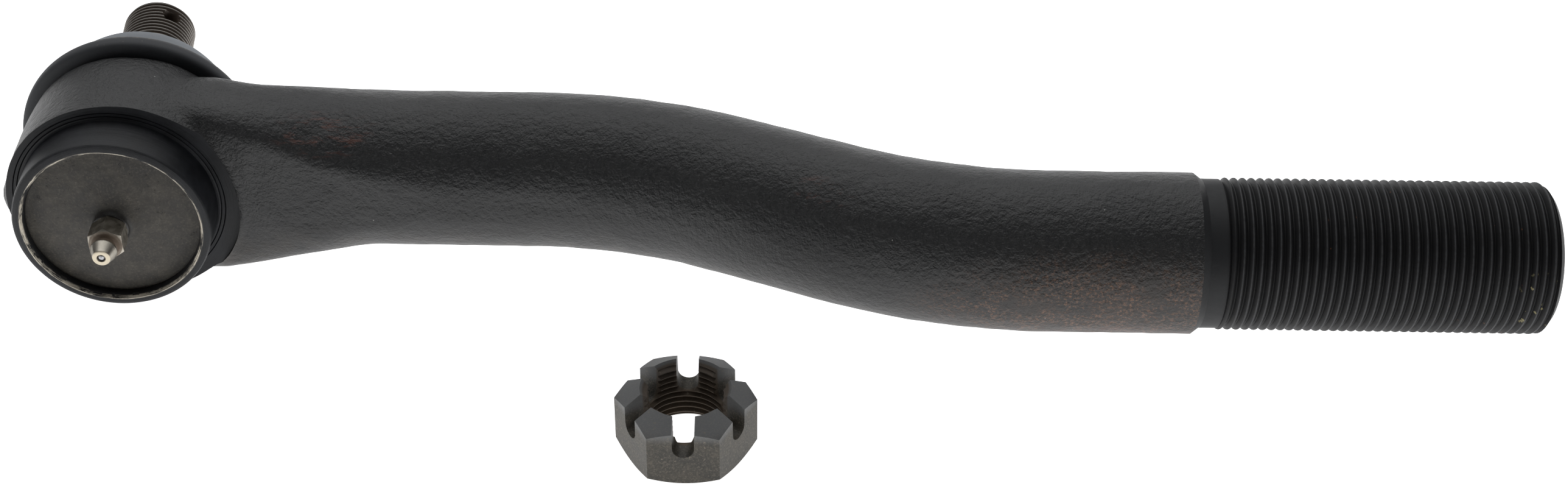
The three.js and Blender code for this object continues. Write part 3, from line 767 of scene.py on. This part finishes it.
def machined(name, dark, light, roughness, metallic=0.9, ring_pitch=0.8):
    """Bare turned steel: rings about the socket's axis over a cloudy tone."""
    material, shader, place = new_finish(name, metallic=metallic)
    radius, height, angle = about_axis(place)
    rings = grain(place.combined(radius / ring_pitch, height / ring_pitch, angle * 0.8), 1.0, 3)
    clouds = grain(place, 4, 4, 0.6)
    colour = (rings * 0.5 + clouds * 0.5).rise(0.3, 0.7).mixed(dark, light)
    fed(shader, colour=colour, roughness=roughness + 0.12 * clouds, height=rings, depth=0.03)
    return material


def refinished(node, material):
    """Gives a frame node's own shape a new material."""
    slots = frame["nodes"][node].material_slots
    for slot in slots:
        slot.material = material
    if not slots:
        frame["nodes"][node].data.materials.append(material)


bearing_steel = machined("oiled_bearing", (0.20, 0.19, 0.175), (0.33, 0.31, 0.285), 0.32)
spring_steel = machined("dark_spring", (0.10, 0.10, 0.105), (0.2, 0.2, 0.205), 0.34)
for node in ("upper_bearing", "lower_bearing"):
    refinished(node, bearing_steel)


def coil_spring(name, node, radius, wire, low, high, turns):
    """A round wire wound about the socket's axis, climbing evenly from one height to another."""
    angle = np.linspace(0, 2 * np.pi * turns, int(turns * 40) + 1)[:, None]
    section = circle(14)[None, :]
    wide = radius + wire * np.cos(section)
    tall = low + (high - low) * angle / angle[-1] + wire * np.sin(section)
    spring = skinned(name, placed(around(wide, tall, angle)))
    smoothed(spring, 60)
    spring.data.materials.append(spring_steel)
    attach(spring, "socket_body")
    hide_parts(node)
    return spring


# Each stands on a face, the cover's inside and the fitting's shoulder, and gets a mesh of its own.
preload_coil = coil_spring("preload_coil", "preload_spring", radius=15.5, wire=1.2, low=-21.14,
                           high=-15.5, turns=2.2)
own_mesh(preload_coil)
check_coil = coil_spring("check_coil", "grease_check_spring", radius=0.95, wire=0.16, low=-37.57,
                         high=-34.34, turns=5)
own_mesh(check_coil)


# ---- Cover plate -----------------------------------------------------
# A pressed steel disc, crowned towards the outside, that closes the socket under the rolled lip.
# Its middle is pierced and drawn up into a small collar for the grease fitting. Brown phosphate.

cover_radius, cover_seat, cover_thick, rim_width, crown = 21.5, -21.6, 3.0, 1.6, 2.4
rim_face = cover_seat - 0.3 - cover_thick
crown_radius = cover_radius - rim_width


def cover_face(radius):
    """Height of the outer face: a shallow parabola inside the flat rim."""
    return rim_face - crown * (1 - np.minimum(radius / crown_radius, 1) ** 2)


face_radii = np.linspace(6.4, crown_radius - 0.5, 34)
cover_profile = [
    (3.4, -28.55), (3.55, -28.62), (3.95, -28.63), (4.2, -28.5), (4.35, -28.2), (4.55, -27.75),
    (5.1, -27.25), (5.7, -26.98), *zip(face_radii, cover_face(face_radii)),
    (crown_radius + 0.2, rim_face - 0.02), (cover_radius - 0.2, rim_face),
    (cover_radius, rim_face + 0.2), (cover_radius, cover_seat - 0.5),
    (cover_radius - 0.2, cover_seat - 0.3), (crown_radius - 0.4, cover_seat - 0.3),
    (18.5, -21.95), (12, -22.9), (6, -23.95), (3.4, -24.2)]


def pressed(radius, height, angle):
    """The pressing's edge waves a little in the round."""
    return 0.05 * np.sin(3 * angle + 0.6) * (radius > 4.5) * (radius < 19)


cover = skinned("cover_pressing", placed(turned(cover_profile, 200, pressed)), ring=True)
place = triples(cover.data.vertices, "co") / MM
radius, height = socket_place(place)
on_face = (radius > 4.6) & (radius < 19.4) & (height < -24)
dents = 0.05 * undulation(place, 6, 11) + 0.03 * undulation(place, 2.2, 12, 50)
place += np.outer(dents * on_face, socket_axis)
place_vertices(cover, place)
smoothed(cover, 40)

cover_phosphate, shader, place = new_finish("cover_phosphate")
radius = about_axis(place)[0]
clouds = grain(place, 5.5, 5, 0.62)
speckle = grain(place, 0.55, 4, 0.7)
colour = clouds.rise(0.32, 0.68).mixed((0.017, 0.0148, 0.012), (0.040, 0.035, 0.027))
colour = (speckle.rise(0.48, 0.70) * 0.6).mixed(colour, (0.080, 0.069, 0.052))
pitting = grain(place, 1.4, 4, 0.7).rise(0.62, 0.72)
colour = (pitting * 0.6).mixed(colour, (0.018, 0.017, 0.016))
scratches = grain(stretched(place, (0.25, 1.0, 1.6)), 1.1, 3, 0.6, 0.6)
scored = abs(scratches - 0.5).rise(0.010, 0.003)
colour = (scored * clouds.rise(0.5, 0.65) * 0.6).mixed(colour, (0.17, 0.155, 0.13))
collar_gloss = radius.rise(5.3, 4.4)
colour = (collar_gloss * 0.8).mixed(colour, (0.022, 0.021, 0.020))
fed(shader, colour=colour, roughness=0.58 + 0.12 * clouds - 0.3 * collar_gloss,
    height=clouds * 0.3 + speckle * 0.4 - pitting * 0.5, depth=0.16)
cover.data.materials.append(cover_phosphate)
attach(cover, "socket_body")
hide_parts("cover_plate")


# ---- Grease fitting --------------------------------------------------
# A zinc-plated steel nipple screwed into the cover: a hexagon, a waist and a bulbous head whose
# tip holds a spring-loaded check ball. Brown grease has dried in the waist, and the hexagon is
# darker and browner in patches.

def hexagonal(angle, flats, turn=0.0):
    """Distance from the axis to a hexagon's side at an angle."""
    off = (angle - turn + np.pi / 6) % (np.pi / 3) - np.pi / 6
    return flats / 2 / np.cos(off)


def hex_rows(columns, flats, low, high, low_ring, high_ring, slope, turn=0.0):
    """A hexagon trimmed by a cone at each end. A row of points runs along each curve where a cone
    meets the flats, so that its edge is exact."""
    angle = circle(columns)
    side = hexagonal(angle, flats, turn)
    low_meet = low + np.maximum(side - low_ring, 0) * slope
    high_meet = high - np.maximum(side - high_ring, 0) * slope
    even = np.ones(columns)
    radii = [low_ring * even, side, side, side, high_ring * even]
    heights = [low * even, low_meet, (low_meet + high_meet) / 2, high_meet, high * even]
    return np.array(radii), np.array(heights), angle


fitting_tip, hex_flats = -40.3, 7.94
hex_top, hex_bottom = -28.93, -34.93
fitting_sides, stem_radius, stem_length = 180, 3.1, 6.4
radii, heights, angle = hex_rows(fitting_sides, hex_flats, hex_bottom, hex_top, 3.85, 4.05, 0.7)
head_profile = [
    (1.0, fitting_tip + 0.75), (0.93, fitting_tip + 0.3), (1.05, fitting_tip + 0.02),
    (1.3, fitting_tip), (1.85, fitting_tip + 0.02), (2.08, fitting_tip + 0.15),
    (2.25, fitting_tip + 0.5), (2.9, fitting_tip + 2.4), (3.14, fitting_tip + 2.85),
    (3.2, fitting_tip + 3.1), (3.15, fitting_tip + 3.35), (2.85, fitting_tip + 3.6),
    (2.5, fitting_tip + 3.75), (2.4, fitting_tip + 3.95), (2.4, fitting_tip + 4.4),
    (2.5, hex_bottom - 0.45), (2.9, hex_bottom - 0.18), (3.45, hex_bottom)]
even = np.ones(fitting_sides)
head_radii, head_heights = np.array(head_profile).T[:, :, None] * even
grid_radius = np.vstack([head_radii, radii, stem_radius * even, stem_radius * even])
grid_height = np.vstack([head_heights, heights, heights[-1], heights[-1] + stem_length])
fitting = skinned("fitting_nipple", placed(around(grid_radius, grid_height, angle)))
chamber = [(0.9, -41.0), (0.9, fitting_tip + 0.42), (1.5, fitting_tip + 0.85), (1.5, -33.9),
           (0.7, -33.9), (0.7, -21.0)]
worked(fitting, turned_tool("chamber", chamber, 48, ring=False))
smoothed(cleaned(fitting), 30)

zinc, shader, place = new_finish("fitting_zinc", metallic=1.0)
radius, height, angle = about_axis(place)
clouds = grain(place, 1.6, 4, 0.6)
fine = grain(place, 0.3, 3, 0.6)
colour = clouds.mixed((0.34, 0.31, 0.26), (0.52, 0.49, 0.43))
below_hexagon = height.rise(hex_bottom + 0.3, hex_bottom - 0.2)
waist = height.rise(fitting_tip + 3.2, fitting_tip + 3.6) * below_hexagon
# Dull dark brown in the waist and, in patches, on the hexagon.
dull_brown = (waist * 0.85 + 0.9 * clouds * (height.rise(-35.2, -34.6))).rise(0.35, 0.9)
colour = (dull_brown * 0.9).mixed(colour, (0.085, 0.048, 0.022))
tip_ring = height.rise(fitting_tip + 0.35, fitting_tip + 0.1)
colour = (tip_ring * 0.75).mixed(colour, (0.50, 0.44, 0.33))
# Painted shade: the tip's mouth and bore are painted near black.
inside = radius.rise(1.15, 0.9) * tip_ring
colour = inside.mixed(colour, (0.03, 0.026, 0.022))
marks = grain(place.combined(radius * 4, height * 5, angle * 0.6), 1.0, 3)
fed(shader, colour=colour, roughness=0.30 + 0.12 * clouds + 0.3 * dull_brown,
    metallic=1.0 - 0.85 * dull_brown.maths("MINIMUM", dull_brown, 1.0),
    height=marks * 0.6 + fine * 0.4, depth=0.05)
fitting.data.materials.append(zinc)
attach(fitting, "socket_body")
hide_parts("grease_fitting_body")

check_steel = machined("check_ball_steel", (0.30, 0.30, 0.31), (0.42, 0.42, 0.43), 0.22, 1.0)
refinished("grease_check_ball", check_steel)
frame["nodes"]["grease_check_ball"].data.shade_smooth()


# ---- Dust boot and its rings -----------------------------------------
# A moulded rubber boot. Its rim, a fat bead that collects dust, stands on the socket's seat. A
# paler dome closes in over the stud's neck, and a wire ring clips its lip to the taper. The dome's
# paleness is partly the rubber's own and partly a painted sheen of the bright room.

boot_base, boot_top, boot_radius = 8.6, 37.4, 29.6
stud_lean = math.acos(float(np.dot(socket_axis, stud_axis)))
lip_bore, lip_outer = 11.16, 13.56


def rounded(profile, rounds):
    """Corner cutting: each side of the outline keeps its middle half, a few times over."""
    outline = np.asarray(profile, float)
    for _ in range(rounds):
        ahead = np.roll(outline, -1, 0)
        pairs = [0.75 * outline + 0.25 * ahead, 0.25 * outline + 0.75 * ahead]
        outline = np.stack(pairs, 1).reshape(-1, 2)
    return outline


def leaned(points, low, high):
    """Turns each ring about the ball's centre, from not at all at a low height to the stud's
    whole lean at a high one, by the smooth step of the height."""
    turn = stud_lean * eased((points[..., 1] - low) / (high - low))
    x, y = points[..., 0], points[..., 1]
    return np.stack([x * np.cos(turn) - y * np.sin(turn), x * np.sin(turn) + y * np.cos(turn),
                     points[..., 2]], -1)


boot_outline = [
    (22.4, boot_base), (25.0, boot_base), (27.9, boot_base), (28.9, boot_base + 0.3),
    (29.45, boot_base + 1.0), (boot_radius, boot_base + 2.0), (boot_radius, boot_base + 3.0),
    (29.3, boot_base + 4.1), (28.7, boot_base + 5.0), (27.8, boot_base + 5.7),
    (27.2, boot_base + 6.1), (26.8, boot_base + 6.8), (26.4, boot_base + 8.0),
    (25.8, 18.3), (24.1, 23.0), (22.4, 26.8), (20.8, 29.6), (18.8, 31.8), (17.2, 33.2),
    (16.0, 34.2), (15.2, 34.9), (14.0, 35.2), (13.3, 35.6), (13.25, 36.4), (13.7, 36.8),
    (13.8, 37.2), (13.3, boot_top), (11.6, boot_top), (lip_bore, 37.1), (lip_bore, 35.2),
    (lip_bore + 0.3, 33.9),
    (12.6, 32.4), (15.2, 30.9), (17.2, 29.4), (18.4, 28.0), (20.1, 25.4), (21.9, 22.2),
    (23.5, 18.0), (24.2, 14.6), (23.4, 12.6), (22.4, 12.2), (22.4, 11.8), (23.6, 11.8), (23.6, 9.1),
    (22.4, 9.1)]


def settled(points):
    """The rim sits a little towards the shank, which eases off with the smooth step of the
    height, and the table flattens it from below."""
    rim_shift, rim_end, rim_inner, table_level = 0.8, 19, 25, -28.5
    outer = np.hypot(points[..., 0], points[..., 2]) > rim_inner
    x = points[..., 0] + rim_shift * eased((rim_end - points[..., 1]) / 8) * outer
    return np.stack([x, points[..., 1], np.maximum(points[..., 2], table_level)], -1)


boot_rings = leaned(settled(turned(rounded(boot_outline, 2), 160)), 12.2, 33.4)
boot = skinned("boot_moulding", placed(boot_rings), ring=True)
smoothed(boot, 50)

boot_rubber, shader, place = new_finish("rubber_with_dome_sheen", roughness=0.6, specular=0.42)
height = about_axis(place)[1]
clouds = grain(place, 8, 4, 0.6)
fine = grain(place, 0.45, 4, 0.65)
colour = clouds.mixed((0.030, 0.032, 0.036), (0.046, 0.048, 0.053))
# The dome is painted paler than the bead: partly the rubber's own grey, partly a painted sheen of
# the bright room above.
dome_pale_and_sheen = height.rise(boot_base + 5.2, boot_base + 6.6)
colour = (dome_pale_and_sheen * 0.85).mixed(colour, (0.135, 0.152, 0.172))
colour = (clouds.rise(0.45, 0.75) * dome_pale_and_sheen * 0.3).mixed(colour, (0.12, 0.13, 0.14))
bead_top = height.rise(boot_base + 2.6, boot_base + 4.2)
bead_top = bead_top * height.rise(boot_base + 6.6, boot_base + 5.0)
dusty = (grain(place, 0.9, 4, 0.7) * 0.6 + grain(place, 8, 2) * 0.5).rise(0.50, 0.68)
colour = (bead_top * dusty * 0.75).mixed(colour, (0.20, 0.165, 0.125))
specked = specks(place, 2.2, 0.28, 0.4) * (0.2 + 0.8 * bead_top)
colour = (specked * 0.7).mixed(colour, (0.24, 0.21, 0.17))
fed(shader, colour=colour, roughness=0.58 + 0.14 * clouds,
    height=clouds * 0.4 + fine * 0.35, depth=0.10)
boot.data.materials.append(boot_rubber)
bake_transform(boot)
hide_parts("dust_boot")

wire_radius, wire_height = 0.55, 36.1
wire_angle = circle(16)
wire = np.stack([lip_outer + 0.85 + wire_radius * np.cos(wire_angle),
                 wire_height + wire_radius * np.sin(wire_angle)], -1)
clip = skinned("clip_wire", placed(turned(wire, 120), axis=stud_axis), ring=True)
smoothed(clip, 60)
clip.data.materials.append(spring_steel)
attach(clip, "stud_carrier")
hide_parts("boot_clip_ring")
refinished("boot_base_ring", spring_steel)


# ---- Castle nut ------------------------------------------------------
# A slotted hexagon nut for the stud, stood beside the shank: hot forged, faced and tapped, with a
# coned crown and six round-bottomed slots milled through it. Grey-olive phosphate.

nut_flats, nut_height, nut_bore, nut_sink = 28.575, 16.9, 9.5, 1.0
nut_low, nut_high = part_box("castle_nut")
nut_centre = np.array([(nut_low.x + nut_high.x) / 2, (nut_low.y + nut_high.y) / 2, nut_low.z]) / MM


def upright(points, origin):
    """Points given as (across, along, up) stood so that `along` is straight up."""
    return origin + np.stack([points[..., 0], -points[..., 2], points[..., 1]], -1)


crown_slope = math.tan(math.radians(30))
radii, heights, angle = hex_rows(
    240, nut_flats, 0.0, nut_height, nut_flats / 2 - 0.55, nut_bore + nut_sink, crown_slope,
    turn=np.pi / 6)
nut = skinned("nut_slotted", upright(around(radii, heights, angle), nut_centre))
slot_depth, slot_half = 8.9, 2.5
slot_bottom = nut_height - slot_depth
bottom = np.linspace(-np.pi, 0, 17)
slot_outline = np.vstack([
    [(-slot_half - 0.15, nut_height + 2)],
    np.stack([slot_half * np.cos(bottom), slot_bottom + slot_half * (1 + np.sin(bottom))], -1),
    [(slot_half + 0.15, nut_height + 2)]])


def milled(turn):
    """A slot's outline drawn straight through the nut, turned about its axis."""
    out = np.array([-22.0, 22.0])
    flat = np.stack(np.broadcast_arrays(
        slot_outline[None, :, 0], slot_outline[None, :, 1], out[:, None]), -1)
    x = flat[..., 0] * math.cos(turn) - flat[..., 2] * math.sin(turn)
    z = flat[..., 0] * math.sin(turn) + flat[..., 2] * math.cos(turn)
    return np.stack([x, flat[..., 1], z], -1)


for turn in (0, math.pi / 3, 2 * math.pi / 3):
    worked(nut, skinned("slot_tool", upright(milled(turn), nut_centre)))
tap_radius, tap_depth = nut_bore + 0.12, 0.82
coil = screw(nut_height + 6, -3, tap_radius, tap_depth, fine_pitch, columns=72)
worked(nut, skinned("tap", upright(coil, nut_centre), shift=len(rolled_form)))
worked(nut, skinned("top_sink", upright(turned([
    (8.5, nut_height - 2.0), (nut_bore + nut_sink + 0.1, nut_height + 0.05),
    (11, nut_height + 3)], 96), nut_centre)))
worked(nut, skinned("bottom_sink", upright(turned([
    (11, -3), (nut_bore + nut_sink, 0), (8.5, 2.0)], 96), nut_centre)))
edges = nut.modifiers.new("edges", "BEVEL")
edges.width = 0.16 * MM
edges.segments = 2
edges.limit_method = "ANGLE"
edges.angle_limit = math.radians(38)
edges.use_clamp_overlap = True
finished(nut)
smoothed(cleaned(nut), 30)

nut_phosphate, shader, place = new_finish("olive_phosphate")
radius_from = distance_from(place, nut_centre, (1, 1, 0))
height = place.parts()[2] - float(nut_centre[2])
clouds = grain(place, 5, 4, 0.6)
speckle = grain(place, 0.42, 4, 0.72)
colour = clouds.rise(0.3, 0.7).mixed((0.036, 0.033, 0.027), (0.064, 0.057, 0.045))
colour = (speckle.rise(0.48, 0.66) * 0.75).mixed(colour, (0.135, 0.118, 0.092))
colour = (speckle.rise(0.42, 0.34) * 0.6).mixed(colour, (0.018, 0.018, 0.017))
upper = height.rise(nut_height - 5.5, nut_height - 2)
colour = (upper * 0.7).mixed(colour, (0.155, 0.160, 0.165))
in_bore = radius_from.rise(10.3, 9.7)
colour = (in_bore * 0.75).mixed(colour, clouds.mixed((0.05, 0.036, 0.025), (0.12, 0.085, 0.055)))
dots = specks(place, 1.6, 0.28, 0.25)
colour = (dots * 0.6).mixed(colour, (0.2, 0.17, 0.13))
fed(shader, colour=colour, roughness=0.50 + 0.14 * clouds, metallic=0.25 + 0.2 * in_bore,
    height=clouds * 0.3 + speckle * 0.5, depth=0.08)
nut.data.materials.append(nut_phosphate)
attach(nut, "nut_body")
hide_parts("castle_nut")
